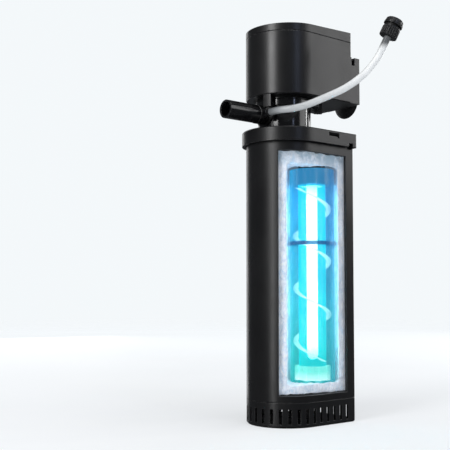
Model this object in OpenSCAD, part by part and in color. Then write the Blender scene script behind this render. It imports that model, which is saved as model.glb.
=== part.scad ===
// Internal power filter with an ultraviolet chamber, for an aquarium or a small pond.
// The body is D-shaped: round at the front (-Y), flat at the back (+Y).
// The origin is on the underside of the intake base, on the pump's vertical axis.

/* [Canister] */
// Radius of the canister's round front
canister_r = 33.4; // [33:0.1:34.5]
// Distance from the pump axis to the canister's flat back
canister_back = 51.5; // [51:0.1:54]
// Thickness of the canister's wall
canister_wall = 2.5; // [2:0.1:2.8]
// Height of the joint between the base and the canister
base_top = 21; // [20:0.5:22]
// Height of the canister's lower window edge
window_low = 26.3; // [26.3:0.1:30]
// Height of the canister's upper window edge
window_high = 230; // [221:0.5:230]

/* [Head] */
// Height of the lid's top face
lid_top = 250; // [249:0.5:250]
// Radius of the lid's round front
lid_r = 37; // [36.8:0.1:38]
// Distance from the pump axis to the lid's flat back
lid_back = 53; // [53:0.1:54]
// Radius of the pump chamber
chamber_r = 23; // [22.5:0.1:23.5]
// Radius of the motor housing's round front
motor_r = 33.5; // [33:0.1:34.5]
// Distance from the pump axis to the motor housing's flat back
motor_back = 50; // [50:0.5:52]
// Height of the seam between the motor housing and its cap
cap_seam = 331.5; // [328:0.5:335]
// Slope of the cap's top face towards the front, in degrees
cap_slope = 2.1; // [0:0.1:3]

/* [Outlet and air line] */
// Outer radius of the outlet nozzle
nozzle_r = 7.7; // [7.2:0.1:8]
// Bore radius of the outlet nozzle
nozzle_bore_r = 6; // [5:0.1:6.4]
// Distance from the pump axis to the nozzle's tip
nozzle_reach = 66; // [55:1:80]
// Outer diameter of the air tube
air_tube_d = 6; // [5:0.5:6]
// Radius of the knurled air valve body
valve_r = 7.5; // [6.5:0.1:8]

/* [Ultraviolet chamber] */
// Outer radius of the clear chamber tube
uv_r = 19.5; // [19:0.1:19.7]
// Outer radius of the quartz sleeve
sleeve_r = 12; // [11.9:0.1:12]
// Radius of each of the lamp's two glass tubes
lamp_tube_r = 4.6; // [4:0.1:4.8]
// Height that the swirl vane rises in one turn
vane_pitch = 46; // [40:1:60]

/* [Hidden] */
$fn = 72;

black = [0.11, 0.11, 0.12];
dark_rubber = [0.05, 0.05, 0.05];
clear_blue = [0.6, 0.85, 0.95, 0.4];
white_wool = [0.93, 0.94, 0.97];
steel = [0.6, 0.6, 0.62];

seam = 0.4;
inner_r = canister_r - canister_wall;
inner_back = canister_back - canister_wall;
rim_top = lid_top - 4.5;
skirt_low = lid_top - 12;

// Base strainer
slot_w = 3;
slot_pitch = 7.8;
slot_low = 3.2;
slot_high = 15.4;
slot_step = 13.4;
base_lip_r = inner_r - 0.3;
corner_r = 1.6;
lid_corner_r = 2.6;

// Window: its left edge is this many degrees round from the front, its right edge on the flat side
window_left = 37.6;
window_right_y = 41.5;
pane_r = inner_r - 0.1;
pane_t = 1.5;

// Ultraviolet chamber
uv_pos = [5.5, 27.5, 0];
uv_low = 33.5;
uv_high = 219;
uv_wall = 1.9;
view_angle = -43;
view_slot_w = 43.4;
sleeve_low = 37.8;
sleeve_high = lid_top - 7;
sleeve_wall = 1.2;
lamp_low = 58;
lamp_high = 205;
lamp_offset = 5.4;
nut_low = lid_top - 24;
lamp_gland_pos = [-8, 34, lid_top];
bead_z = 154.5;
bead_in = 0.7;

// Pump
pump_floor = lid_top + 6;
volute_r = 19.4;
chamber_top = lid_top + 25.2;
motor_low = lid_top + 28;
nozzle_z = lid_top + 12.8;
spigot_r = 12;
nozzle_stop = -33.5;
nozzle_step = 0.3;
shaft_r = 1.5;
well_r = 11.3;
well_wall = 1.7;
well_top = motor_low + 38;
core_low = motor_low + 7;
core_h = 22;
lug_angles = [51, 171, 291];
lug_half = 5;
hook_low = motor_low - 10.4;

// Hanger rail behind the motor housing
rail_left = -19;
rail_back = motor_back + 10;
rail_top = motor_low + 41;
rail_slot_w = 4;
rail_slot_low = motor_low + 34;
bracket_x = 7.25;
bracket_half = 16;
cup_z = motor_low + 7.5;
cup_plate_back = rail_back + 4;
cup_r = 14.5;
gland_x = -26.5;
gland_z = motor_low + 22;

// Air line: venturi inlet on the nozzle, tube route and valve
venturi_y = -29;
venturi_face = 13;
tube_start = 14.5;
venturi_barb_len = 6.5;
valve_tilt = 25;
valve_heading = 50;
valve_dir = [sin(valve_tilt) * cos(valve_heading), sin(valve_tilt) * sin(valve_heading), cos(valve_tilt)];
tube_end = [85.6, 29.8, 310.6];
air_tube_route = [
    [tube_start, -29, 262.8], [17, -29, 262.8], [20, -29, 262.8], [24, -28.7, 262.7], [28, -27.8, 262.6], [31.5, -26.2, 262.6],
    [35, -24, 262.8], [38.6, -20.7, 263.6], [42.7, -16.3, 265.2], [46.8, -11.9, 267.3],
    [50.9, -7.5, 269.7], [55, -3.1, 272.2], [59.1, 1.3, 274.8], [63.2, 5.7, 277.6],
    [67.2, 10, 280.9], [71.1, 14.2, 284.8], [74.9, 18.3, 289.3], [78.3, 22, 294.4],
    [81.2, 25.1, 299.7], [83.6, 27.7, 305], tube_end,
    tube_end + 4 * valve_dir, tube_end + 8 * valve_dir, tube_end + 11 * valve_dir];
air_tube_bore_r = 1.9;
barb_start = 2.4;
barb_len = 8.95;
barb_r = 2.25;
valve_len = 8.6;
valve_cap_len = 6.4;
valve_cap_r = 8;

// ---- shared shapes ----

// Outline with a round front of radius r and a flat back at y = back
module d_shape(r, back) {
    circle(r = r);
    translate([-r, 0]) square([2 * r, back]);
}

module d_prism(r, back, z0, z1) {
    translate([0, 0, z0]) linear_extrude(z1 - z0) d_shape(r, back);
}

// Cuts the two rear vertical corners of a D-shaped block to a radius
module rear_corners(r, back, round_r, z0, z1) {
    for (s = [0, 1]) mirror([s, 0, 0]) translate([r - round_r, back - round_r, z0 - 1])
        linear_extrude(z1 - z0 + 2) difference() {
            square([round_r + 1, round_r + 1]);
            circle(r = round_r);
        }
}

module d_tube(r, back, wall, z0, z1) {
    translate([0, 0, z0]) linear_extrude(z1 - z0) difference() {
        d_shape(r, back);
        d_shape(r - wall, back - wall);
    }
}

// D-shaped block with a chamfer low on its outside and another high on its outside
module d_block(r, back, z0, z1, low, high) {
    side = [[r - low, z0], [r, z0 + low], [r, z1 - high], [r - high, z1]];
    rotate_extrude() polygon([[0, z0], each side, [0, z1]]);
    intersection() {
        translate([0, back, 0]) rotate([90, 0, 0]) linear_extrude(back)
            polygon([[-r + low, z0], each side, [-r + high, z1], [-r, z1 - high], [-r, z0 + low]]);
        translate([-r, 0, 0]) rotate([90, 0, 90]) linear_extrude(2 * r)
            polygon([[0, z0], [back - low, z0], [back, z0 + low], [back, z1 - high], [back - high, z1], [0, z1]]);
    }
}

module ring(r_out, r_in, z0, z1) {
    translate([0, 0, z0]) difference() {
        cylinder(r = r_out, h = z1 - z0);
        translate([0, 0, -1]) cylinder(r = r_in, h = z1 - z0 + 2);
    }
}

module round_ring(major, minor, z) {
    translate([0, 0, z]) rotate_extrude() translate([major, 0]) circle(r = minor, $fn = 32);
}

module along_y(x, z, y0, y1, r) {
    translate([x, y1, z]) rotate([90, 0, 0]) cylinder(r = r, h = y1 - y0);
}

// A wedge between two angles, long enough to cut a ring
module sector(a0, a1, z0, z1) {
    translate([0, 0, z0]) linear_extrude(z1 - z0)
        polygon([[0, 0], [60 * cos(a0), 60 * sin(a0)], [60 * cos(a1), 60 * sin(a1)]]);
}

module at_valve(along) {
    translate(tube_end) rotate([0, valve_tilt, valve_heading]) translate([0, 0, along]) children();
}

// Suction cup: stem and button towards -Y, bell opening towards +Y, its collar starting at y = 0
module cup_shape(r) {
    rotate([-90, 0, 0]) rotate_extrude() polygon([
        [0, -3.7], [4.4, -3.7], [4.4, -2.65], [2.9, -2.65], [2.9, 0], [5, 0], [5.4, 1.8],
        [r - 2, 5], [r, 6.5], [r - 0.7, 6.5], [r - 3, 5.4], [4.5, 3.2], [0, 2.6]]);
}

// ---- canister body ----

module intake_base() {
    color(black) difference() {
        union() {
            d_block(canister_r, canister_back, 0, base_top - seam, 1.5, 0);
            d_prism(base_lip_r, inner_back - 0.3, base_top - 1, base_top + 2.8);
        }
        rear_corners(canister_r, canister_back, corner_r, 0, base_top - seam);
        d_prism(canister_r - 2.2, canister_back - 2.2, 2.5, base_top - 4);
        d_prism(base_lip_r - 1.4, inner_back - 1.7, base_top - 4.1, base_top + 4);
        for (k = [-6:6]) rotate([0, 0, k * slot_step - 90]) side_slot(canister_r);
        for (k = [0:5], s = [-1, 1]) translate([0, 2.2 + k * slot_pitch, 0]) mirror([s < 0 ? 1 : 0, 0, 0])
            side_slot(canister_r);
        for (k = [-3:3]) translate([k * slot_pitch, canister_back, 0]) rotate([0, 0, 90]) side_slot(0);
        for (y = [-22, -14, 10, 18, 26, 34, 42]) translate([-16, y - slot_w / 2, -1]) cube([32, slot_w, 5]);
    }
}

module side_slot(r) {
    translate([r - 6, -slot_w / 2, slot_low]) cube([12, slot_w, slot_high - slot_low]);
}

module canister() {
    color(black) difference() {
        union() {
            d_tube(canister_r, canister_back, canister_wall, base_top, rim_top);
            along_y(0, 60, canister_back - 1, cup_plate_back, 8);
        }
        window_cut();
        rear_corners(canister_r, canister_back, corner_r, base_top, rim_top);
        for (s = [-1, 1]) translate([s * canister_r - 2, 43.6, skirt_low - 1.6]) cube([4, 5, 4]);
        along_y(0, 60, canister_back + 8, cup_plate_back + 1, 3);
        along_y(0, 60, cup_plate_back - 4, cup_plate_back - 2.6, 5);
    }
}

module window_cut() {
    a = window_left;
    translate([0, 0, window_low]) linear_extrude(window_high - window_low)
        polygon([[25 * sin(a), -25 * cos(a)], [50 * sin(a), -50 * cos(a)], [60, -40],
            [60, window_right_y], [25, window_right_y], [25, 0]]);
}

module support_grid() {
    color(black) difference() {
        d_prism(inner_r - 0.2, inner_back - 0.2, base_top + 3, base_top + 5);
        for (y = [-16:8:40]) translate([-18, y - 2, base_top + 2]) cube([36, 4, 4]);
    }
}

module window_pane() {
    color(clear_blue) intersection() {
        d_tube(pane_r, inner_back - 0.1, pane_t, base_top + 5.1, window_high + 2);
        translate([0, 0, base_top]) linear_extrude(window_high) polygon([[12, -24], [22, -44], [60, -40],
            [60, window_right_y + 3], [25, window_right_y + 3], [25, 0]]);
    }
}

// Block of white filter wool, bored for the chamber and cut open towards the window
module foam_sleeve() {
    color(white_wool) difference() {
        d_prism(pane_r - pane_t - 0.4, inner_back - 0.4, base_top + 5.2, window_high + 1);
        translate([uv_pos.x, uv_pos.y, uv_low - 0.2]) cylinder(r = uv_r + 0.3, h = 220);
        translate(uv_pos) rotate([0, 0, view_angle])
            translate([0, -view_slot_w / 2, uv_low + 1.8]) cube([60, view_slot_w, uv_high - uv_low - 1.3]);
    }
}

module uv_chamber() {
    color(clear_blue) translate(uv_pos) difference() {
        translate([0, 0, uv_low]) cylinder(r = uv_r, h = uv_high - uv_low);
        difference() {
            translate([0, 0, uv_low + 2]) cylinder(r = uv_r - uv_wall, h = uv_high);
            ring(uv_r, uv_r - uv_wall - bead_in, bead_z, bead_z + 3);
        }
        for (a = [0:45:315]) rotate([0, 0, a]) translate([14.6, 0, uv_low - 1]) cylinder(r = 2.2, h = 4);
    }
}

// Helical vane that makes the water circle the sleeve
module swirl_vane() {
    low = 52;
    high = 203;
    turns = (high - low) / vane_pitch;
    color(clear_blue) translate([uv_pos.x, uv_pos.y, low])
        linear_extrude(high - low, twist = turns * 360, slices = ceil(turns * 24), segments = 4)
            translate([sleeve_r + 0.5, -0.9]) square([uv_r - uv_wall - bead_in - sleeve_r - 0.6, 1.8]);
}

module flow_collar() {
    low = uv_high - 13.4;
    outer = uv_r - uv_wall - 0.1;
    color(clear_blue) translate(uv_pos) {
        ring(outer, outer - 1.2, low, uv_high);
        for (a = [0:24:336]) rotate([0, 0, a])
            translate([sleeve_r + 0.5, -0.7, low]) cube([outer - sleeve_r - 1, 1.4, uv_high - low]);
    }
}

module sleeve_foot() {
    low = uv_low + 2.1;
    color(clear_blue) translate(uv_pos) {
        ring(sleeve_r + 1.9, sleeve_r + 0.35, low, low + 12);
        for (a = [22.5:45:337.5]) rotate([0, 0, a]) translate([sleeve_r + 1.2, -0.6, low]) cube([3.3, 1.2, 12]);
    }
}

module lower_suction_cup() {
    color(dark_rubber) translate([0, cup_plate_back, 60]) cup_shape(cup_r);
}

// ---- lid, lamp and sleeve ----

module canister_lid() {
    color(black) difference() {
        union() {
            difference() {
                d_block(lid_r, lid_back, skirt_low, lid_top, 0, 0.9);
                d_prism(canister_r + 0.4, canister_back + 0.3, skirt_low - 1, lid_top - 3);
                rear_corners(lid_r, lid_back, lid_corner_r, skirt_low, lid_top);
            }
            ring(15.5, spigot_r, lid_top - 14, lid_top - 1);
            translate(uv_pos) ring(16.2, sleeve_r + 0.2, lid_top - 20, lid_top - 2);
        }
        translate([0, 0, lid_top - 15]) cylinder(r = spigot_r + 0.08, h = 20);
        translate([uv_pos.x, uv_pos.y, lid_top - 21]) cylinder(r = sleeve_r + 0.2, h = 18);
        translate([lamp_gland_pos.x, lamp_gland_pos.y, lid_top - 4]) cylinder(r = 3, h = 5);
        for (s = [0, 1]) mirror([s, 0, 0]) {
            catch_pocket();
            translate([canister_r, 42, skirt_low - 1]) cube([lid_r, 5.2, 4]);
        }
    }
}

// Pocket for a fingernail in the lid's side, with a slanted roof
module catch_pocket() {
    translate([0, 17.5, 0]) rotate([90, 0, 180]) mirror([1, 0, 0]) linear_extrude(12.5)
        polygon([[lid_r + 1, lid_top - 5], [lid_r - 2.9, lid_top - 5], [lid_r, lid_top - 1.8], [lid_r + 1, lid_top - 1.8]]);
    translate([lid_r - 2, 28, lid_top - 6.2]) cube([3, 2, 2]);
}

module lid_seal() {
    color(dark_rubber) d_tube(canister_r, canister_back, canister_wall, rim_top, lid_top - 3);
}

// Compression gland: hexagon, round nut and the cable's way through, along +Z
module gland(hex_r, nut_r, bore_r, length) {
    difference() {
        union() {
            cylinder(r = hex_r, h = length * 0.45, $fn = 6);
            cylinder(r = nut_r, h = length);
            translate([0, 0, -2.4]) cylinder(r = bore_r + 0.7, h = 3);
        }
        translate([0, 0, -3]) cylinder(r = bore_r, h = length + 4);
    }
}

// Elbow gland: up through the lid, then out towards the back
module lamp_gland() {
    bore_r = 2.1;
    color(black) translate(lamp_gland_pos) difference() {
        union() {
            translate([0, 0, -2.4]) cylinder(r = bore_r + 0.7, h = 3);
            translate([-5, -5, 0]) cube([10, 11, 9]);
            translate([0, 5.9, 4.5]) rotate([-90, 0, 0]) cylinder(r = 4.2, h = 9.1);
            translate([0, 5.9, 4.5]) rotate([-90, 0, 0]) cylinder(r = 5.2, h = 4.1, $fn = 6);
        }
        translate([0, 0, -3]) cylinder(r = bore_r, h = 7.5);
        translate([0, 0, 4.5]) rotate([-90, 0, 0]) cylinder(r = bore_r, h = 20);
    }
}

module quartz_sleeve() {
    r = sleeve_r;
    w = sleeve_wall;
    color(clear_blue) translate(uv_pos) difference() {
        union() {
            translate([0, 0, sleeve_low + r]) cylinder(r = r, h = sleeve_high - sleeve_low - r);
            translate([0, 0, sleeve_low + r]) sphere(r = r);
        }
        translate([0, 0, sleeve_low + r]) cylinder(r = r - w, h = sleeve_high);
        translate([0, 0, sleeve_low + r]) sphere(r = r - w);
    }
}

module at_lamp() {
    translate(uv_pos) rotate([0, 0, view_angle]) children();
}

module uv_lamp() {
    color([0.75, 0.98, 1]) at_lamp() {
        for (s = [-1, 1]) translate([s * lamp_offset, 0, lamp_low]) {
            cylinder(r = lamp_tube_r, h = lamp_high - lamp_low);
            sphere(r = lamp_tube_r);
        }
        translate([-lamp_offset, 0, lamp_low + 6]) rotate([0, 90, 0]) cylinder(r = 2.5, h = 2 * lamp_offset);
    }
}

module lamp_base() {
    color([0.92, 0.92, 0.9]) at_lamp() translate([0, 0, lamp_high]) cylinder(r = 10.2, h = 15.8);
}

module lamp_pins() {
    color([0.8, 0.7, 0.4]) at_lamp() for (s = [-1, 1])
        translate([s * 6, 0, lamp_high + 15.8]) cylinder(r = 1, h = 6.5);
}

module lamp_socket() {
    color([0.9, 0.9, 0.88]) at_lamp() difference() {
        translate([0, 0, lamp_high + 16]) cylinder(r = 10.5, h = 20);
        for (s = [-1, 1]) translate([s * 6, 0, lamp_high + 15]) cylinder(r = 1.05, h = 8);
    }
}

module sleeve_nut() {
    color(black) translate(uv_pos) difference() {
        union() {
            ring(18.2, 16.3, nut_low + 2.2, nut_low + 9.5);
            ring(18.2, sleeve_r + 0.25, nut_low, nut_low + 2.2);
            for (a = [0:20:340]) rotate([0, 0, a]) translate([18, 0, nut_low]) cylinder(r = 0.8, h = 9.5);
        }
        translate([0, 0, nut_low - 1]) cylinder(r = sleeve_r + 0.25, h = 3.5);
    }
}

module sleeve_oring() {
    color(dark_rubber) translate(uv_pos) round_ring(sleeve_r + 0.95, 0.85, nut_low + 3.1);
}

// ---- pump chamber and outlet ----

module pump_chamber() {
    color(black) difference() {
        union() {
            cylinder_from(spigot_r, lid_top - 12, lid_top + 1);
            cylinder_from(chamber_r, lid_top, chamber_top);
            cylinder_from(chamber_r + 1.2, lid_top, lid_top + 2.2);
            cylinder_from(chamber_r + 2.5, chamber_top - 5, chamber_top);
            along_y(0, nozzle_z, -24.4, -15, nozzle_r + 2.1);
            for (a = lug_angles) intersection() {
                ring(30, chamber_r, chamber_top - 5, chamber_top - 2.2);
                sector(a - lug_half, a + lug_half, chamber_top - 6, chamber_top);
            }
        }
        cylinder_from(volute_r, pump_floor, chamber_top + 1);
        cylinder_from(9.5, lid_top - 13, lid_top + 4);
        cylinder_from(7.5, lid_top + 3, pump_floor + 1);
        ring(spigot_r + 1, spigot_r - 1.2, lid_top - 8, lid_top - 5.6);
        along_y(0, nozzle_z, -24, -10, nozzle_bore_r);
        along_y(0, nozzle_z, -26, -20, nozzle_r + nozzle_step + 0.15);
    }
    color(black) difference() {
        union() {
            cylinder_from(4.2, lid_top + 0.2, lid_top + 3.8);
            for (a = [30:120:270]) rotate([0, 0, a]) translate([3, -0.8, lid_top + 0.2]) cube([7, 1.6, 3.6]);
        }
        cylinder_from(2.7, lid_top, lid_top + 5);
    }
}

module cylinder_from(r, z0, z1) {
    translate([0, 0, z0]) cylinder(r = r, h = z1 - z0);
}

module neck_oring() {
    color(dark_rubber) round_ring(spigot_r - 0.6, 0.59, lid_top - 6.8);
}

module lower_bush() {
    color(dark_rubber) ring(2.65, shaft_r + 0.05, lid_top + 0.2, lid_top + 3.8);
}

module outlet_nozzle() {
    color(black) difference() {
        union() {
            along_y(0, nozzle_z, -nozzle_reach, -20.2, nozzle_r);
            along_y(0, nozzle_z, nozzle_stop, -20.2, nozzle_r + nozzle_step);
            translate([0, venturi_y, nozzle_z]) rotate([0, 90, 0]) cylinder(r = 4.3, h = venturi_face);
        }
        along_y(0, nozzle_z, -nozzle_reach - 1, -19, nozzle_bore_r);
        translate([0, venturi_y, nozzle_z]) rotate([0, 90, 0]) cylinder(r = 1.5, h = venturi_face + 1);
    }
}

module venturi_barb() {
    color(black) translate([venturi_face, venturi_y, nozzle_z]) rotate([0, 90, 0]) difference() {
        union() {
            cylinder(r = 3.8, h = 1.2);
            cylinder(r = barb_r - 0.35, h = venturi_barb_len);
            for (z = [2.2, 4.3]) translate([0, 0, z]) cylinder(r1 = barb_r, r2 = barb_r - 0.35, h = 1.7);
        }
        translate([0, 0, -1]) cylinder(r = 1.1, h = venturi_barb_len + 2);
    }
}

// ---- air tube: one swept polyhedron ----

function unit(v) = v / norm(v);
function route_dir(p, i) = unit(p[min(i + 1, len(p) - 1)] - p[max(i - 1, 0)]);
function tube_ring(p, i, r, sides) =
    let (t = route_dir(p, i), side = unit(cross(t, [0, 0, 1])), up = cross(side, t))
    [for (k = [0:sides - 1]) p[i] + r * (cos(360 * k / sides) * side + sin(360 * k / sides) * up)];

module swept_tube(p, r, sides) {
    rings = len(p);
    points = [for (i = [0:rings - 1]) each tube_ring(p, i, r, sides)];
    walls = [for (i = [0:rings - 2], k = [0:sides - 1]) let (n = (k + 1) % sides)
        each [[i * sides + k, i * sides + n, (i + 1) * sides + n],
            [i * sides + k, (i + 1) * sides + n, (i + 1) * sides + k]]];
    ends = [[for (k = [sides - 1:-1:0]) k], [for (k = [0:sides - 1]) (rings - 1) * sides + k]];
    polyhedron(points, concat(walls, ends));
}

// The air line is pushed over both barbs, which stretch its bore
module air_tube() {
    last = len(air_tube_route) - 1;
    bore_route = concat([air_tube_route[0] - [1, 0, 0]], [for (i = [1:last - 1]) air_tube_route[i]],
        [air_tube_route[last] + valve_dir]);
    color([0.95, 0.97, 0.97]) difference() {
        swept_tube(air_tube_route, air_tube_d / 2, 12);
        swept_tube(bore_route, air_tube_bore_r, 12);
        translate([tube_start - 1, venturi_y, nozzle_z]) rotate([0, 90, 0])
            cylinder(r = barb_r + 0.1, h = venturi_face + venturi_barb_len - tube_start + 1.3);
        at_valve(barb_start - 0.3) cylinder(r = barb_r + 0.1, h = barb_len + 2);
    }
}

module valve_barb() {
    color(black) at_valve(barb_start) difference() {
        union() {
            cylinder(r = barb_r - 0.35, h = barb_len);
            for (z = [0.5:2.1:7]) translate([0, 0, z]) cylinder(r1 = barb_r - 0.35, r2 = barb_r, h = 1.7);
        }
        translate([0, 0, -1]) cylinder(r = 1.2, h = barb_len + 2);
    }
}

module valve_body() {
    color(black) at_valve(barb_start + barb_len) difference() {
        union() {
            cylinder(r = valve_r - 0.5, h = valve_len);
            for (a = [0:15:345]) rotate([0, 0, a]) translate([valve_r - 0.7, 0, 0]) cylinder(r = 0.7, h = valve_len - 1.2);
        }
        translate([0, 0, -1]) cylinder(r = 1.2, h = 5);
        translate([0, 0, 3]) cylinder(r = 2, h = valve_len);
    }
}

module valve_cap() {
    color(black) at_valve(barb_start + barb_len + valve_len + 0.3) difference() {
        union() {
            cylinder(r = 6.2, h = 2);
            translate([0, 0, 1.2]) cylinder(r = valve_cap_r, h = 1.6);
            translate([0, 0, 2.8]) cylinder(r1 = valve_cap_r - 0.3, r2 = valve_cap_r - 0.7, h = valve_cap_len - 3.6);
            translate([0, 0, valve_cap_len - 0.8]) cylinder(r1 = valve_cap_r - 0.7, r2 = valve_cap_r - 1.5, h = 0.8);
        }
        translate([0, 0, -1]) cylinder(r = 1.5, h = 4);
        for (a = [0:30:330]) rotate([0, 0, a]) translate([valve_cap_r, 0, 2.9]) cylinder(r = 0.8, h = valve_cap_len);
        translate([2.6, 0, -1]) cylinder(r = 0.6, h = valve_cap_len + 2);
    }
}

module valve_needle() {
    color([0.7, 0.6, 0.35]) at_valve(barb_start + barb_len + valve_len - 6) {
        translate([0, 0, 2]) cylinder(r = 1.45, h = 7);
        cylinder(r1 = 0.3, r2 = 1.45, h = 2);
    }
}

// ---- rotor ----

module impeller() {
    color([0.15, 0.2, 0.25]) difference() {
        union() {
            cylinder_from(3.6, lid_top + 4.5, lid_top + 20);
            cylinder_from(15, lid_top + 18.2, lid_top + 19.8);
            cylinder_from(4, lid_top + 19, lid_top + 59);
            cylinder_from(6, lid_top + 29.5, lid_top + 31.4);
            for (a = [0:60:300]) rotate([0, 0, a]) translate([2.5, -0.7, lid_top + 7.5]) cube([12.3, 1.4, 11]);
        }
        cylinder_from(shaft_r + 0.05, lid_top, lid_top + 60);
    }
}

module rotor_magnet() {
    color([0.2, 0.2, 0.2]) ring(9.8, 4.02, lid_top + 31.5, lid_top + 58.5);
}

module rotor_shaft() {
    color([0.93, 0.93, 0.9]) cylinder_from(shaft_r, lid_top + 0.8, well_top - 2.8);
}

module upper_bush() {
    color(dark_rubber) ring(3.2, shaft_r, well_top - 6.2, well_top - 2.6);
}

// ---- motor ----

module rotor_well() {
    color([0.2, 0.2, 0.22]) difference() {
        union() {
            cylinder_from(well_r + well_wall, chamber_top, well_top);
            cylinder_from(25, chamber_top + 0.3, motor_low);
            cylinder_from(19.1, chamber_top - 4.7, chamber_top + 1);
        }
        cylinder_from(well_r, chamber_top - 6, well_top - 6.5);
        cylinder_from(3.25, well_top - 7, well_top - 2.5);
        ring(20, 17, chamber_top - 3.6, chamber_top - 1.2);
    }
}

module chamber_oring() {
    color(dark_rubber) round_ring(18.2, 1.1, chamber_top - 2.4);
}

module stator_core() {
    color(steel) difference() {
        union() {
            for (s = [-1, 1]) {
                translate([s * 19 - 5, -10, core_low]) cube([10, 54, core_h]);
                translate([s > 0 ? 2 : -20, -10, core_low]) cube([18, 20, core_h]);
            }
            translate([-24, 34, core_low]) cube([48, 10, core_h]);
        }
        cylinder_from(well_r + well_wall + 0.3, core_low - 1, core_low + core_h + 1);
        translate([-3, -11, core_low - 1]) cube([6, 22, core_h + 2]);
    }
}

module coil_bobbins() {
    color([0.85, 0.85, 0.82]) for (s = [-1, 1]) difference() {
        union() {
            translate([s * 19 - 6.2, 13.5, core_low - 1.2]) cube([12.4, 19, core_h + 2.4]);
            for (y = [13.5, 31]) translate([s * 19 - 8.4, y, core_low - 3.4]) cube([16.8, 1.5, core_h + 6.8]);
        }
        translate([s * 19 - 5.1, 13, core_low - 0.1]) cube([10.2, 20, core_h + 0.2]);
    }
}

module windings() {
    color([0.75, 0.4, 0.15]) for (s = [-1, 1]) difference() {
        translate([s * 19 - 8, 15.1, core_low - 3]) cube([16, 15.8, core_h + 6]);
        translate([s * 19 - 6.3, 14, core_low - 1.3]) cube([12.6, 18, core_h + 2.6]);
    }
}

// Sealing resin round the motor, with the space that the core and coils take
module potting_resin() {
    color([0.1, 0.1, 0.1]) difference() {
        d_prism(motor_r - 2.5, motor_back - 2.5, motor_low + 2.6, cap_seam - 5.5);
        cylinder_from(well_r + well_wall + 0.1, motor_low, well_top + 0.1);
        translate([-27.8, -10.4, core_low - 3.7]) cube([55.6, 55, core_h + 7.5]);
    }
}

module motor_housing() {
    color(black) difference() {
        union() {
            difference() {
                d_block(motor_r, motor_back, motor_low, cap_seam, 0.8, 0);
                rear_corners(motor_r, motor_back, corner_r, motor_low, cap_seam);
            }
            translate([rail_left, motor_back - 2, motor_low]) cube([motor_r - rail_left, rail_back - motor_back + 2,
                rail_top - motor_low]);
            for (a = lug_angles) bayonet_hook(a);
        }
        d_prism(motor_r - 2.2, motor_back - 2.2, motor_low + 2.5, cap_seam + 1);
        cylinder_from(well_r + well_wall + 0.1, motor_low - 1, motor_low + 3);
        translate([rail_left - 1, motor_back, rail_slot_low]) cube([60, rail_slot_w, 20]);
        along_y(gland_x, gland_z, motor_back - 4, motor_back + 1, 3.5);
    }
}

// L-shaped hook under the motor that holds one of the pump chamber's lugs
module bayonet_hook(a) {
    intersection() {
        difference() {
            ring(33, 26.2, hook_low, motor_low + 1);
            ring(30.4, 26, hook_low + 2.2, motor_low);
        }
        sector(a - lug_half - 1, a + lug_half + 1, hook_low - 1, motor_low + 2);
    }
}

module cap_seal() {
    color(dark_rubber) d_tube(motor_r - 0.7, motor_back - 0.7, 1.3, cap_seam, cap_seam + seam);
}

module motor_cap() {
    top = cap_seam + 9;
    color(black) difference() {
        union() {
            d_block(motor_r, motor_back, cap_seam + seam, top + 2, 0, 0);
            d_tube(motor_r - 2.4, motor_back - 2.4, 1.6, cap_seam - 4, cap_seam + 1);
        }
        cap_cut(top);
        rear_corners(motor_r, motor_back, corner_r, cap_seam, top + 2);
        intersection() {
            d_prism(motor_r - 4, motor_back - 4, cap_seam - 5, top);
            cap_under(top - 2);
        }
    }
}

// Everything above the sloping top face, which meets the flat back at this height
module cap_cut(top) {
    translate([-50, motor_back, top]) rotate([cap_slope, 0, 0]) translate([0, -120, 0]) cube([100, 140, 30]);
}

module cap_under(top) {
    translate([-50, motor_back, top]) rotate([cap_slope, 0, 0]) translate([0, -120, -30]) cube([100, 140, 30]);
}

module mains_gland() {
    color(black) translate([gland_x, motor_back, gland_z]) rotate([-90, 0, 0]) gland(5.6, 4.6, 2.6, 10);
}

// ---- wall fixing ----

module suction_bracket() {
    color(black) difference() {
        translate([bracket_x - bracket_half, 0, 0]) {
            translate([0, motor_back + 0.7, rail_slot_low + 0.5]) cube([2 * bracket_half, 2.6, 9.5]);
            translate([0, motor_back + 0.7, rail_top + 0.4]) cube([2 * bracket_half, 13.3, 2.6]);
            translate([0, rail_back + 1.5, motor_low + 1]) cube([2 * bracket_half, 2.5, 43]);
            for (x = [0, 2 * bracket_half - 1.6]) translate([x, rail_back + 0.3, motor_low + 1]) cube([1.6, 2, 42]);
        }
        along_y(bracket_x, cup_z, rail_back, rail_back + 6, 3);
    }
}

module suction_cup() {
    color(dark_rubber) translate([bracket_x, cup_plate_back, cup_z]) cup_shape(cup_r);
}

intake_base();
canister();
support_grid();
window_pane();
foam_sleeve();
uv_chamber();
swirl_vane();
flow_collar();
sleeve_foot();
lower_suction_cup();
canister_lid();
lid_seal();
lamp_gland();
quartz_sleeve();
uv_lamp();
lamp_base();
lamp_pins();
lamp_socket();
sleeve_nut();
sleeve_oring();
pump_chamber();
neck_oring();
lower_bush();
outlet_nozzle();
venturi_barb();
air_tube();
valve_barb();
valve_body();
valve_cap();
valve_needle();
impeller();
rotor_magnet();
rotor_shaft();
upper_bush();
rotor_well();
chamber_oring();
stator_core();
coil_bobbins();
windings();
potting_resin();
motor_housing();
cap_seal();
motor_cap();
mains_gland();
suction_bracket();
suction_cup();
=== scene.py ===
"""Looks for the internal power filter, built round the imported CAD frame. Metres, +Z up."""

import math

import bpy
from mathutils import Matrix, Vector, noise


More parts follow.
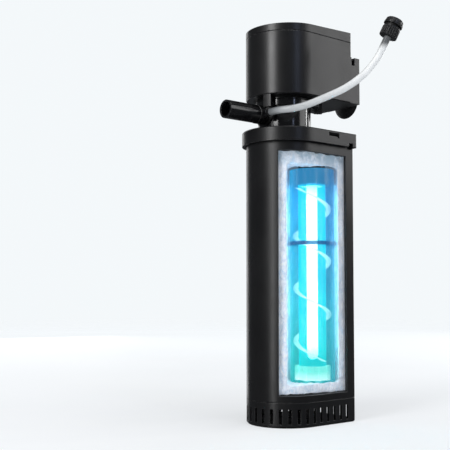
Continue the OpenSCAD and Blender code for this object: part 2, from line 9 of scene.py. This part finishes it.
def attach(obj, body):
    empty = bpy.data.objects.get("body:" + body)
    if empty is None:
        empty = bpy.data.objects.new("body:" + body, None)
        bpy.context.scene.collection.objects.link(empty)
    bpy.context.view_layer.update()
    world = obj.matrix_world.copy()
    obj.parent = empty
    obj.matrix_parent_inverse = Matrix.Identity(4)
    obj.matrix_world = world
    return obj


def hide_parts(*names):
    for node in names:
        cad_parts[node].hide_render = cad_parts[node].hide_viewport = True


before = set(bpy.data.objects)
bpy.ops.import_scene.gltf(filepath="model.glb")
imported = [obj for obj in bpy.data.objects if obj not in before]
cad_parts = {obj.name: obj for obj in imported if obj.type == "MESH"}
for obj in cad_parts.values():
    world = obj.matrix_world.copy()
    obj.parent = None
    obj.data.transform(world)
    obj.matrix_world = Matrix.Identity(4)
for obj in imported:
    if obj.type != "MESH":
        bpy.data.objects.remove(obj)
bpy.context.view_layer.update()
scene = bpy.context.scene
MM = 0.001

# ---------------------------------------------------------------- camera

CAMERA_AT = (0.53026, -0.49133, 0.11284)
LOOK_AZIMUTH = 51.3
LOOK_PITCH = 2.98
LENS_MM = 66.59
SENSOR_MM = 36.0
SHIFT_Y = 0.05

camera_data = bpy.data.cameras.new("camera")
camera_data.lens = LENS_MM
camera_data.sensor_width = SENSOR_MM
camera_data.shift_y = SHIFT_Y
camera_data.clip_start = 10 * MM
camera = bpy.data.objects.new("camera", camera_data)
scene.collection.objects.link(camera)
camera.location = CAMERA_AT
turn, pitch = math.radians(LOOK_AZIMUTH), math.radians(LOOK_PITCH)
level = math.cos(pitch)
forward = Vector((-math.sin(turn) * level, math.cos(turn) * level, math.sin(pitch)))
camera.rotation_mode = "QUATERNION"
camera.rotation_quaternion = forward.to_track_quat("-Z", "Y")
scene.camera = camera
scene.view_settings.view_transform = "Standard"
scene.cycles.transparent_max_bounces = 40
scene.cycles.use_denoising = True

# ---------------------------------------------------------------- node helper

LOOKS = {}
AXIS_X, AXIS_Z = 0, 2
BLACK, WHITE = (0.0, 0.0, 0.0), (1.0, 1.0, 1.0)


class Look:
    """One procedural material: a Principled shader and the nodes that drive it."""

    def __init__(self, name):
        self.mat = LOOKS[name] = bpy.data.materials.new("look_" + name)
        self.mat.use_nodes = True
        self.tree = self.mat.node_tree
        self.tree.nodes.clear()
        self.out = self.node("ShaderNodeOutputMaterial")
        self.shader = self.node("ShaderNodeBsdfPrincipled")
        self.link(self.shader.outputs[0], self.out.inputs["Surface"])
        self.place = self.node("ShaderNodeTexCoord").outputs["Object"]

    def node(self, kind, **props):
        made = self.tree.nodes.new(kind)
        for key, value in props.items():
            setattr(made, key, value)
        return made

    def link(self, a, b):
        self.tree.links.new(a, b)

    def set(self, **values):
        for key, value in values.items():
            self.shader.inputs[key.replace("_", " ")].default_value = value

    def stretched(self, scale, turned=(0, 0, 0)):
        """Object coordinates, turned and scaled along each axis."""
        mapping = self.node("ShaderNodeMapping")
        mapping.inputs["Scale"].default_value = scale
        mapping.inputs["Rotation"].default_value = turned
        self.link(self.place, mapping.inputs["Vector"])
        return mapping.outputs[0]

    def noise(self, scale, detail=4.0, rough=0.55, at=None, warp=0.0):
        made = self.node("ShaderNodeTexNoise")
        made.inputs["Scale"].default_value = scale
        made.inputs["Detail"].default_value = detail
        made.inputs["Roughness"].default_value = rough
        made.inputs["Distortion"].default_value = warp
        self.link(at or self.place, made.inputs["Vector"])
        return made.outputs["Fac"]

    def ramp(self, fac, *stops):
        """stops of (position, colour), lowest first."""
        made = self.node("ShaderNodeValToRGB")
        ramp = made.color_ramp
        while len(ramp.elements) < len(stops):
            ramp.elements.new(0.5)
        for element, (at, colour) in zip(ramp.elements, stops):
            element.position = at
            element.color = (*colour, 1.0)
        self.link(fac, made.inputs["Fac"])
        return made.outputs["Color"]

    def span(self, fac, low, high, from_low=0.0, from_high=1.0):
        """low at and below from_low, high at and above from_high, and straight between them."""
        made = self.node("ShaderNodeMapRange")
        made.inputs["From Min"].default_value = from_low
        made.inputs["From Max"].default_value = from_high
        made.inputs["To Min"].default_value = low
        made.inputs["To Max"].default_value = high
        self.link(fac, made.inputs["Value"])
        return made.outputs[0]

    def feed(self, socket, value):
        """Links an output to the socket, or sets it to a number or a colour."""
        if isinstance(value, tuple):
            socket.default_value = (*value, 1.0)
        elif isinstance(value, (int, float)):
            socket.default_value = value
        else:
            self.link(value, socket)

    def math(self, operation, a, b=None):
        made = self.node("ShaderNodeMath", operation=operation)
        self.feed(made.inputs[0], a)
        if b is not None:
            self.feed(made.inputs[1], b)
        return made.outputs[0]

    def blend(self, a, share, b):
        """a times its share plus b times the rest."""
        return self.math("ADD", self.math("MULTIPLY", a, share),
                         self.math("MULTIPLY", b, 1.0 - share))

    def vector(self, operation, place, other=None):
        """One number from a place and a fixed vector."""
        made = self.node("ShaderNodeVectorMath", operation=operation)
        self.link(place, made.inputs[0])
        if isinstance(other, tuple):
            made.inputs[1].default_value = other
        elif other is not None:
            self.link(other, made.inputs[1])
        return made.outputs["Value"]

    def mix(self, fac, a, b):
        made = self.node("ShaderNodeMix", data_type="RGBA")
        for socket, value in ((made.inputs[0], fac), (made.inputs[6], a), (made.inputs[7], b)):
            self.feed(socket, value)
        return made.outputs[2]

    def axis(self, index):
        split = self.node("ShaderNodeSeparateXYZ")
        self.link(self.place, split.inputs[0])
        return split.outputs[index]

    def rounded(self, radius, samples):
        """The surface's normal, as if its edges were rounded to that radius."""
        made = self.node("ShaderNodeBevel", samples=samples)
        made.inputs["Radius"].default_value = radius
        return made.outputs[0]

    def turned_away(self, blend, normal=None):
        """0 where the surface is seen square on, and 1 at its outline."""
        made = self.node("ShaderNodeLayerWeight")
        made.inputs["Blend"].default_value = blend
        if normal is not None:
            self.link(normal, made.inputs["Normal"])
        return made.outputs["Facing"]

    def bump(self, *layers, base=None):
        """layers of (height socket, strength, distance in metres), coarse first, over base."""
        normal = base
        for height, strength, distance in layers:
            made = self.node("ShaderNodeBump")
            made.inputs["Strength"].default_value = strength
            made.inputs["Distance"].default_value = distance
            self.link(height, made.inputs["Height"])
            if normal is not None:
                self.link(normal, made.inputs["Normal"])
            normal = made.outputs[0]
        self.link(normal, self.shader.inputs["Normal"])

    def colour(self, socket):
        self.link(socket, self.shader.inputs["Base Color"])

    def rough(self, socket):
        self.link(socket, self.shader.inputs["Roughness"])

    def shine(self, socket, strength):
        self.link(socket, self.shader.inputs["Emission Color"])
        self.set(Emission_Strength=strength)


def times(colour, factor):
    return tuple(c * factor for c in colour)


# ---------------------------------------------------------------- materials

# Painted shade in crevices: how far the occlusion looks, and how dark it paints them.
CREVICE_SHADE_REACH = 5 * MM
CREVICE_PAINTED_SHADE = 0.25
PLASTIC_IOR = 1.5


def moulded(name, dark, light, rough_low, rough_high, grain=1500.0, grain_depth=0.06 * MM,
            specular=0.5, edge_wear_and_highlight=0.055, round_mm=0.6):
    """Moulded plastic: spark-eroded grain, flow tone, wipe marks, crevices darkened as painted
    shade and made rougher, edges lightened by rubbing and by a painted edge highlight.
    """
    look = Look(name)
    flow = look.noise(16.0, 3.0, 0.5, warp=0.6)
    speck = look.noise(2600.0, 2.0)
    tone = look.ramp(look.blend(flow, 0.75, speck), (0.32, dark), (0.68, light))
    edge = look.rounded(round_mm * MM, samples=6)
    plain = look.node("ShaderNodeNewGeometry").outputs["Normal"]
    at_edge = look.span(look.vector("DOT_PRODUCT", edge, plain), 1.0, 0.0, 0.90, 0.995)
    uneven = look.span(look.noise(190.0, 5.0, 0.65), 0.1, 1.0, 0.38, 0.62)
    # Edges are lightened: rubbing together with a painted edge highlight.
    worn_and_lit_edge_tone = tuple(min(1.0, c + edge_wear_and_highlight) for c in light)
    rubbed_and_lit_edges = look.mix(look.math("MULTIPLY", at_edge, uneven), tone, worn_and_lit_edge_tone)
    # Painted shade: crevices found by ambient occlusion are darkened, and made rougher.
    crevice_occlusion = look.node("ShaderNodeAmbientOcclusion", samples=6, only_local=False)
    crevice_occlusion.inputs["Distance"].default_value = CREVICE_SHADE_REACH
    out_of_crevice_shade = look.span(crevice_occlusion.outputs["AO"], 0.0, 1.0, 0.25, 0.75)
    look.colour(look.mix(out_of_crevice_shade, times(dark, CREVICE_PAINTED_SHADE), rubbed_and_lit_edges))
    wiped = look.noise(60.0, 4.0, 0.6, at=look.stretched((1.0, 1.0, 0.08)), warp=0.3)
    handled = look.noise(34.0, 5.0, 0.62, warp=0.8)
    finish = look.span(look.blend(wiped, 0.5, handled), rough_low, rough_high, 0.36, 0.64)
    look.rough(look.math("ADD", finish, look.span(out_of_crevice_shade, 0.5, 0.0)))
    fine = look.noise(grain, 3.0, 0.6)
    look.bump((flow, 0.05, 0.4 * MM), (fine, 0.35, grain_depth), base=edge)
    look.set(IOR=PLASTIC_IOR, Specular_IOR_Level=specular)


def rubber(name, tone, bloom):
    """Soft rubber with a dusty bloom."""
    look = Look(name)
    dust = look.noise(75.0, 6.0, 0.62, warp=0.5)
    look.colour(look.ramp(dust, (0.4, tone), (0.74, bloom)))
    look.rough(look.span(look.noise(420.0, 4.0), 0.42, 0.7, 0.3, 0.7))
    look.bump((look.noise(160.0, 3.0), 0.12, 0.4 * MM), (look.noise(2400.0, 3.0), 0.3, 0.08 * MM))
    look.set(Specular_IOR_Level=0.42, Sheen_Weight=0.12, Sheen_Roughness=0.4)


LAMP_AXIS = (0.0055, 0.0275)
WINDOW_ALONG = (0.625, 0.780, 0.0)
WALL_ROUND = 1.5 * MM
WALL_IOR = 1.49
BAND_SOLID = 0.8


def clear(name, top, bottom, low, high, least, most, rough=0.06, glow=0.0, ripple=0.0,
          tinting=0.35, body=1.0, band=None, stripes=None, lit_between=None, outline_shade=None,
          far_side_shade=None):
    """A thin clear wall. It shows what is behind it, tinted, and is more solid at its outline.

    The tint goes from bottom to top between the heights low and high. The wall's solid share
    goes from least to most, and body is how much of the tint it scatters. band is (height,
    half width, colour), and stripes is the colour of upright painted reflections in the wall.
    glow is a painted glow that stands in for the lamp's light in the wall, shown mostly
    between the two heights of lit_between when that is given. rim is the colour of a painted
    shade at the outline, and far_side_shade the colour of a painted shade along the window's far
    side in the upper half.
    """
    look = Look(name)
    height = look.axis(AXIS_Z)
    tint = look.mix(look.span(height, 0.0, 1.0, low, high), bottom, top)
    if stripes:
        upright = look.noise(170.0, 3.0, 0.6, at=look.stretched((1.0, 1.0, 0.02)))
        tint = look.mix(look.span(upright, 0.0, 1.0, 0.5, 0.66), tint, stripes)
    if band:
        band_z, band_half, band_colour = band
        away = look.math("ABSOLUTE", look.math("SUBTRACT", height, band_z))
        in_band = look.span(away, 1.0, 0.0, band_half * 0.6, band_half)
        tint = look.mix(in_band, tint, band_colour)
    streak = look.noise(26.0, 5.0, 0.62, at=look.stretched((1.0, 1.0, 0.35)), warp=1.6)
    shade = look.mix(look.span(streak, 0.0, 0.5, 0.35, 0.7), tint, times(top, 0.55))
    outline = look.turned_away(0.32, look.rounded(WALL_ROUND, samples=4))
    # Painted shade: the outline is darkened towards this colour.
    if outline_shade:
        shade = look.mix(look.span(outline, 0.0, 0.9, 0.72, 0.97), shade, outline_shade)
    # Painted shade: the window's far side is darkened in the upper half.
    if far_side_shade:
        across = look.vector("DOT_PRODUCT", look.place, WINDOW_ALONG)
        middle = LAMP_AXIS[0] * WINDOW_ALONG[0] + LAMP_AXIS[1] * WINDOW_ALONG[1]
        far = look.span(across, 0.0, 0.8, middle + 3 * MM, middle + 17 * MM)
        upper = look.span(height, 0.35, 1.0, 0.10, 0.16)
        shade = look.mix(look.math("MULTIPLY", far, upper), shade, far_side_shade)
    look.colour(look.mix(1.0 - body, shade, BLACK))
    look.rough(look.span(look.noise(140.0, 4.0), rough, rough + 0.09, 0.3, 0.7))
    look.set(IOR=WALL_IOR, Specular_IOR_Level=0.7)
    if ripple:
        look.bump((look.noise(70.0, 3.0, 0.5, warp=1.2), ripple, 1.2 * MM))
    # Painted glow: emission that stands in for the lamp's light in this wall.
    if glow:
        lit = shade
        if lit_between:
            from_z, to_z = lit_between
            under_top = look.span(height, 1.0, 0.0, to_z, to_z + 4 * MM)
            over_foot = look.span(height, 0.25, 1.0, from_z - 12 * MM, from_z)
            lit = look.mix(look.math("MULTIPLY", under_top, over_foot), BLACK, shade)
        look.shine(lit, glow)
    solid = look.math("MULTIPLY", look.span(outline, least, most, 0.15, 1.0),
                      look.span(streak, 0.8, 1.2, 0.3, 0.7))
    if band:
        solid = look.math("MAXIMUM", solid, look.math("MULTIPLY", in_band, BAND_SOLID))
    see = look.node("ShaderNodeBsdfTransparent")
    look.link(look.mix(tinting, WHITE, tint), see.inputs["Color"])
    both = look.node("ShaderNodeMixShader")
    look.link(solid, both.inputs[0])
    look.link(see.outputs[0], both.inputs[1])
    look.link(look.shader.outputs[0], both.inputs[2])
    look.link(both.outputs[0], look.out.inputs["Surface"])


# Where the wool's painted shade lies: distance round the tube, and heights at its top and foot.
WOOL_SHADOW = (19.5 * MM, 23.2 * MM)
WOOL_TOP = (216 * MM, 226 * MM)
WOOL_FOOT = (26 * MM, 40 * MM)


def wool_look(name):
    """Soft polyester filter wool: felted fibre streaks, darker pores, and a painted glow that
    stands in for a little light through it. It has a painted shade round the clear tube and
    a blotchy painted shade at its top and foot."""
    look = Look(name)
    height = look.axis(AXIS_Z)
    felt = look.noise(95.0, 7.0, 0.68, warp=2.4)
    along_fibre = look.stretched((1.0, 1.0, 0.22), (0.5, 0.3, 0.6))
    strand = look.noise(520.0, 5.0, 0.7, at=along_fibre, warp=1.5)
    pale = look.ramp(look.blend(felt, 0.6, strand), (0.32, (0.50, 0.54, 0.64)),
                     (0.46, (0.74, 0.76, 0.83)), (0.62, (0.90, 0.90, 0.94)))
    along_frost = look.stretched((1.0, 1.0, 0.5), (0.7, 0.2, 0.4))
    frost = look.noise(150.0, 6.0, 0.7, at=along_frost, warp=1.8)
    iced = look.mix(look.span(frost, 0.0, 0.75, 0.48, 0.66), pale, (0.48, 0.62, 0.77))
    # Painted shade: darker and bluer round the clear tube.
    from_lamp = look.vector("DISTANCE", look.stretched((1.0, 1.0, 0.0)), (*LAMP_AXIS, 0.0))
    shade = look.mix(look.span(from_lamp, 0.85, 0.0, *WOOL_SHADOW), iced, (0.10, 0.21, 0.31))
    # Painted shade, blotchy, at the wool's top and foot.
    end_shade = look.math("MAXIMUM", look.span(height, 0.0, 0.8, *WOOL_TOP),
                       look.span(height, 0.12, 0.0, *WOOL_FOOT))
    blotch = look.span(look.noise(120.0, 3.0, 0.6, warp=1.2), 0.25, 1.0, 0.40, 0.58)
    shade = look.mix(look.math("MULTIPLY", end_shade, blotch), shade, (0.30, 0.42, 0.52))
    look.colour(shade)
    # Painted glow: emission that stands in for a little light through the wool.
    look.shine(shade, 0.22)
    look.rough(look.span(strand, 0.75, 1.0))
    look.bump((felt, 0.5, 1.6 * MM), (strand, 0.6, 0.5 * MM))
    look.set(Sheen_Weight=0.35, Sheen_Roughness=0.5, Specular_IOR_Level=0.15)


LAMP_FOOT = (52 * MM, 68 * MM)
LAMP_TOP = (192 * MM, 207 * MM)
LAMP_STRENGTH = 26.0


def lamp_look(name):
    """Lit discharge tube: a white core that turns cyan towards its cooler ends."""
    look = Look(name)
    height = look.axis(AXIS_Z)
    ends = look.math("MAXIMUM", look.span(height, 1.0, 0.0, *LAMP_FOOT),
                     look.span(height, 0.0, 1.0, *LAMP_TOP))
    body = look.ramp(look.noise(60.0, 3.0), (0.3, (0.86, 1.0, 1.0)), (0.7, (0.96, 1.0, 1.0)))
    glow = look.mix(ends, body, (0.15, 0.75, 0.9))
    look.colour(glow)
    look.shine(glow, LAMP_STRENGTH)
    look.rough(look.span(look.noise(300.0), 0.12, 0.25))


def metal(name, dark, light, rough, ring=None):
    """Bare metal with a fine grain, drawn out by the scales in ring, and stains."""
    look = Look(name)
    grain = look.noise(900.0, 4.0, 0.6, at=look.stretched(ring) if ring else None)
    stain = look.span(look.noise(70.0, 5.0, 0.6, warp=0.7), 0.0, 0.6, 0.4, 0.7)
    look.colour(look.mix(stain, look.ramp(grain, (0.3, dark), (0.7, light)), dark))
    look.rough(look.span(grain, rough, rough + 0.2, 0.3, 0.7))
    look.bump((grain, 0.25, 0.05 * MM))
    look.set(Metallic=1.0)


NOZZLE_BARB_X = (16.5 * MM, 28.5 * MM)
VALVE_BARB_Z = (310.5 * MM, 315.5 * MM)
GREYER_X = (26 * MM, 78 * MM)
OUTLINE_SHADE_X = (24 * MM, 70 * MM)


def silicone(name):
    """Milky air line. It is greyer near the nozzle and darker where the barbs fill it. Its
    outline is darkened as painted shade, most near the nozzle, and a faint painted glow stands
    in for light through it.
    """
    look = Look(name)
    along = look.axis(AXIS_X)
    cloud = look.noise(120.0, 4.0, 0.55, warp=0.6)
    milky = look.ramp(cloud, (0.3, (0.74, 0.755, 0.76)), (0.7, (0.86, 0.87, 0.865)))
    greyer = look.mix(look.span(along, 0.9, 0.0, *GREYER_X), milky, (0.27, 0.285, 0.295))
    # Painted shade: the outline is darkened, most near the nozzle.
    outline = look.span(look.turned_away(0.4), 0.0, 0.9, 0.22, 0.75)
    outline_shaded = look.mix(look.math("MULTIPLY", outline, look.span(along, 1.0, 0.35, *OUTLINE_SHADE_X)),
                        greyer, (0.10, 0.11, 0.115))
    over_barb = look.math("MAXIMUM", look.span(along, 0.75, 0.0, *NOZZLE_BARB_X),
                          look.span(look.axis(AXIS_Z), 0.0, 0.93, *VALVE_BARB_Z))
    shade = look.mix(over_barb, outline_shaded, (0.075, 0.08, 0.085))
    look.colour(shade)
    # Painted glow: a faint emission that stands in for light through the milky tube.
    look.shine(shade, 0.12)
    look.rough(look.span(cloud, 0.24, 0.36, 0.3, 0.7))
    look.bump((look.noise(300.0, 2.0), 0.02, 0.1 * MM))
    look.set(IOR=1.43, Specular_IOR_Level=0.5)


moulded("case_black", (0.0045, 0.0045, 0.005), (0.009, 0.009, 0.0095), 0.26, 0.38)
moulded("head_black", (0.004, 0.004, 0.0045), (0.008, 0.008, 0.0085), 0.28, 0.38)
moulded("gloss_black", (0.003, 0.003, 0.0035), (0.006, 0.006, 0.0065), 0.09, 0.18,
        grain_depth=0.02 * MM, specular=0.6, edge_wear_and_highlight=0.03)
moulded("valve_black", (0.007, 0.007, 0.0075), (0.013, 0.013, 0.0135), 0.30, 0.42,
        grain_depth=0.01 * MM, edge_wear_and_highlight=0.02, round_mm=0.2)
moulded("dark_inner", (0.004, 0.004, 0.0045), (0.008, 0.008, 0.008), 0.5, 0.65)
moulded("bone_plastic", (0.66, 0.655, 0.62), (0.78, 0.775, 0.74), 0.35, 0.5, edge_wear_and_highlight=0.1)
moulded("ceramic_white", (0.72, 0.72, 0.70), (0.82, 0.82, 0.80), 0.12, 0.22,
        grain_depth=0.01 * MM)
moulded("ferrite", (0.045, 0.045, 0.05), (0.085, 0.085, 0.09), 0.4, 0.6, grain=700.0)
moulded("resin", (0.012, 0.011, 0.010), (0.03, 0.028, 0.026), 0.2, 0.45, grain=300.0)
rubber("soft_black", (0.010, 0.010, 0.011), (0.03, 0.03, 0.032))
rubber("cup_black", (0.006, 0.006, 0.0065), (0.014, 0.014, 0.015))
wool_look("wool")
lamp_look("lamp_lit")
clear("pane", (0.94, 0.98, 1.0), (0.94, 0.98, 1.0), 0.02, 0.23, 0.012, 0.18, rough=0.04)
# The chamber, vane, collar, foot and quartz get a painted glow that stands in for the lamp's
# light; the chamber also gets painted shade at its outline and along its far side.
clear("chamber_blue", (0.0, 0.40, 0.74), (0.0, 0.56, 0.52), 0.06, 0.20, 0.18, 0.9, ripple=0.25,
      glow=0.95, tinting=0.2, body=0.15, band=(154.5 * MM, 2.2 * MM, (0.0, 0.07, 0.26)),
      outline_shade=(0.0, 0.13, 0.24), far_side_shade=(0.004, 0.12, 0.32))
clear("vane_clear", (0.66, 0.93, 1.0), (0.60, 0.96, 0.92), 0.05, 0.21, 0.75, 0.98, glow=1.5,
      ripple=0.4, body=0.15)
clear("collar_blue", (0.03, 0.30, 0.56), (0.03, 0.28, 0.52), 0.20, 0.22, 0.75, 0.98, glow=0.6,
      body=0.3, stripes=(0.45, 0.58, 0.66))
clear("foot_clear", (0.30, 0.80, 0.72), (0.92, 1.0, 0.98), 0.036, 0.043, 0.7, 0.85, glow=1.7,
      body=0.3)
clear("quartz", (0.0, 0.78, 1.0), (0.0, 0.72, 0.74), 0.05, 0.21, 0.45, 0.9, glow=1.5, body=0.05,
      lit_between=(50 * MM, 207 * MM))
silicone("air_line")
metal("brass", (0.50, 0.34, 0.12), (0.72, 0.54, 0.24), 0.25)
metal("laminated_steel", (0.20, 0.21, 0.23), (0.46, 0.47, 0.49), 0.35, ring=(0.1, 0.1, 3.0))
metal("copper", (0.38, 0.13, 0.05), (0.64, 0.27, 0.11), 0.3, ring=(0.1, 2.0, 2.0))

WEARERS = {
    "case_black": ["intake_base", "canister", "canister_lid", "sleeve_nut", "lamp_gland"],
    "head_black": ["motor_housing", "motor_cap", "mains_gland", "suction_bracket"],
    "gloss_black": ["pump_chamber", "outlet_nozzle", "rotor_well"],
    "valve_black": ["venturi_barb", "valve_barb", "valve_body", "valve_cap"],
    "dark_inner": ["support_grid", "impeller"],
    "bone_plastic": ["lamp_base", "lamp_socket", "coil_bobbins"],
    "ceramic_white": ["rotor_shaft"],
    "ferrite": ["rotor_magnet"],
    "resin": ["potting_resin"],
    "soft_black": ["lid_seal", "sleeve_oring", "neck_oring", "lower_bush", "upper_bush",
                   "chamber_oring", "cap_seal"],
    "cup_black": ["suction_cup", "lower_suction_cup"],
    "lamp_lit": ["uv_lamp"],
    "pane": ["window_pane"],
    "chamber_blue": ["uv_chamber"],
    "vane_clear": ["swirl_vane"],
    "collar_blue": ["flow_collar"],
    "foot_clear": ["sleeve_foot"],
    "quartz": ["quartz_sleeve"],
    "brass": ["lamp_pins", "valve_needle"],
    "laminated_steel": ["stator_core"],
    "copper": ["windings"],
}

for look_name, members in WEARERS.items():
    for member in members:
        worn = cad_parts[member].data.materials
        worn.clear()
        worn.append(LOOKS[look_name])

# ---------------------------------------------------------------- air line

TUBE_D = 6 * MM
TUBE_ROUTE_MM = [
    (14.5, -29, 262.8), (17, -29, 262.8), (20, -29, 262.8), (24, -28.7, 262.7),
    (28, -27.8, 262.6), (31.5, -26.2, 262.6), (35, -24, 262.8), (38.6, -20.7, 263.6),
    (42.7, -16.3, 265.2), (46.8, -11.9, 267.3), (50.9, -7.5, 269.7), (55, -3.1, 272.2),
    (59.1, 1.3, 274.8), (63.2, 5.7, 277.6), (67.2, 10, 280.9), (71.1, 14.2, 284.8),
    (74.9, 18.3, 289.3), (78.3, 22, 294.4), (81.2, 25.1, 299.7), (83.6, 27.7, 305),
    (85.6, 29.8, 310.6), (86.69, 31.09, 314.23), (87.77, 32.39, 317.85), (88.59, 33.36, 320.57),
]


def curve_piece(name, points, radius, material):
    """A round rod along one smooth curve through the points."""
    data = bpy.data.curves.new(name, "CURVE")
    data.dimensions = "3D"
    data.bevel_depth = radius
    data.bevel_resolution = 8
    data.resolution_u = 6
    data.use_fill_caps = True
    spline = data.splines.new("BEZIER")
    spline.bezier_points.add(len(points) - 1)
    for point, place in zip(spline.bezier_points, points):
        point.co = place
        point.handle_left_type = point.handle_right_type = "AUTO"
    data.materials.append(material)
    piece = bpy.data.objects.new(name, data)
    scene.collection.objects.link(piece)
    return piece


route = [Vector(p) * MM for p in TUBE_ROUTE_MM]
air_line = curve_piece("air_line_tube", route, TUBE_D / 2, LOOKS["air_line"])
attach(air_line, "chamber")
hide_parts("air_tube")

# ---------------------------------------------------------------- filter wool

WELD = 0.002 * MM
WOOL_VOXEL = 1.5 * MM
WOOL_INSET = 0.7 * MM
WOOL_SEED = 3.1
# Each layer of tufts is (scale, depth, stretch along Z).
WOOL_TUFTS = [(95.0, 1.3 * MM, 0.6), (260.0, 0.9 * MM, 0.8), (700.0, 0.35 * MM, 1.0)]


def fluffy(name, node_name, material):
    """A felted copy of a CAD block: remeshed, drawn in a little and pushed out in tufts."""
    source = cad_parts[node_name].copy()
    source.data = source.data.copy()
    scene.collection.objects.link(source)
    weld = source.modifiers.new("weld", "WELD")
    weld.merge_threshold = WELD
    remesh = source.modifiers.new("remesh", "REMESH")
    remesh.mode = "VOXEL"
    remesh.voxel_size = WOOL_VOXEL
    bpy.context.view_layer.update()
    graph = bpy.context.evaluated_depsgraph_get()
    mesh = bpy.data.meshes.new_from_object(source.evaluated_get(graph))
    bpy.data.objects.remove(source)
    mesh.name = name
    shift = Vector((WOOL_SEED, WOOL_SEED * 0.7, -WOOL_SEED))
    normals = [v.normal.copy() for v in mesh.vertices]
    for vertex, normal in zip(mesh.vertices, normals):
        push = -WOOL_INSET
        for scale, depth, stretch in WOOL_TUFTS:
            place = vertex.co.copy()
            place.z *= stretch
            push += depth * noise.noise(place * scale + shift)
        vertex.co += normal * push
    for polygon in mesh.polygons:
        polygon.use_smooth = True
    mesh.materials.clear()
    mesh.materials.append(material)
    piece = bpy.data.objects.new(name, mesh)
    scene.collection.objects.link(piece)
    return piece


wool = fluffy("filter_wool", "foam_sleeve", LOOKS["wool"])
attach(wool, "canister")
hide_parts("foam_sleeve")

# ---------------------------------------------------------------- floor, light and backdrop

RINGS, SPOKES, FLOOR_R = 10, 72, 6.0
FLOOR_GLOW = 0.66

floor_points = [(0.0, 0.0, 0.0)]
floor_faces = []
for ring in range(1, RINGS + 1):
    radius = FLOOR_R * (ring / RINGS) ** 2
    for spoke in range(SPOKES):
        angle = 2 * math.pi * spoke / SPOKES
        floor_points.append((radius * math.cos(angle), radius * math.sin(angle), 0.0))
for spoke in range(SPOKES):
    following = (spoke + 1) % SPOKES
    floor_faces.append((0, 1 + spoke, 1 + following))
    for ring in range(RINGS - 1):
        a, b = 1 + ring * SPOKES, 1 + (ring + 1) * SPOKES
        floor_faces.append((a + spoke, b + spoke, b + following, a + following))
floor_data = bpy.data.meshes.new("floor")
floor_data.from_pydata(floor_points, [], floor_faces)

floor_look = Look("studio_floor")
patch = floor_look.noise(3.0, 5.0, 0.6)
paint = floor_look.ramp(patch, (0.3, (0.78, 0.80, 0.82)), (0.7, (0.82, 0.84, 0.855)))
floor_look.colour(floor_look.mix(0.5, BLACK, paint))
reach = floor_look.vector("LENGTH", floor_look.place)
far_off = floor_look.span(reach, 0.0, 1.0, 0.15, 1.6)
floor_look.shine(floor_look.mix(far_off, paint, (1.27, 1.32, 1.36)), FLOOR_GLOW)
floor_look.rough(floor_look.span(patch, 0.6, 0.8))
floor_look.set(Specular_IOR_Level=0.1)
floor_look.link(floor_look.span(reach, 1.0, 0.0, 0.5, 2.6), floor_look.shader.inputs["Alpha"])
floor_data.materials.append(floor_look.mat)
floor = bpy.data.objects.new("studio_floor", floor_data)
scene.collection.objects.link(floor)
floor.visible_glossy = False
# The floor stays under the base when the base is pulled down.
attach(floor, "base")

SEEN = ((0.905, 0.94, 0.96), 1.0)
LIGHTING = ((0.80, 0.85, 0.92), 0.11)

world = bpy.data.worlds.new("studio")
scene.world = world
world.use_nodes = True
tree = world.node_tree
tree.nodes.clear()
world_out = tree.nodes.new("ShaderNodeOutputWorld")
pick = tree.nodes.new("ShaderNodeMixShader")
for socket, (colour, strength) in zip(pick.inputs[1:], (LIGHTING, SEEN)):
    sky = tree.nodes.new("ShaderNodeBackground")
    sky.inputs["Color"].default_value = (*colour, 1.0)
    sky.inputs["Strength"].default_value = strength
    tree.links.new(sky.outputs[0], socket)
path = tree.nodes.new("ShaderNodeLightPath")
tree.links.new(path.outputs["Is Camera Ray"], pick.inputs[0])
tree.links.new(pick.outputs[0], world_out.inputs["Surface"])

AIM = Vector((0, 0, 0.17))
# name, azimuth in degrees from +X towards +Y, distance, height, width, tall, watts, colour
SOFTBOXES = [
    ("side_box", 43, 1.35, 0.78, 0.8, 0.8, 4.4, WHITE),
    ("front_strip", -80, 1.2, 0.82, 0.42, 0.7, 8.0, WHITE),
    ("front_low", -78, 1.2, 0.12, 0.22, 0.5, 1.9, WHITE),
    ("thin_strip", -4, 1.2, 0.82, 0.10, 0.7, 1.0, (0.6, 0.7, 1.0)),
    ("neck_strip", 68, 1.2, 0.58, 0.12, 0.5, 2.2, WHITE),
    ("rim_strip", 165, 1.3, 0.45, 0.5, 1.3, 3, WHITE),
    ("top_box", -20, 0.5, 1.5, 1.0, 1.0, 9, WHITE),
    ("back_fill", 100, 1.5, 0.5, 0.8, 1.0, 6, WHITE),
]

for name, azimuth, distance, height, width, tall, watts, colour in SOFTBOXES:
    light = bpy.data.lights.new(name, "AREA")
    light.shape = "RECTANGLE"
    light.size = width
    light.size_y = tall
    light.energy = watts
    light.color = colour
    box = bpy.data.objects.new(name, light)
    scene.collection.objects.link(box)
    angle = math.radians(azimuth)
    box.location = (distance * math.cos(angle), distance * math.sin(angle), height)
    box.rotation_mode = "QUATERNION"
    box.rotation_quaternion = (AIM - box.location).to_track_quat("-Z", "Y")
    box.visible_camera = False
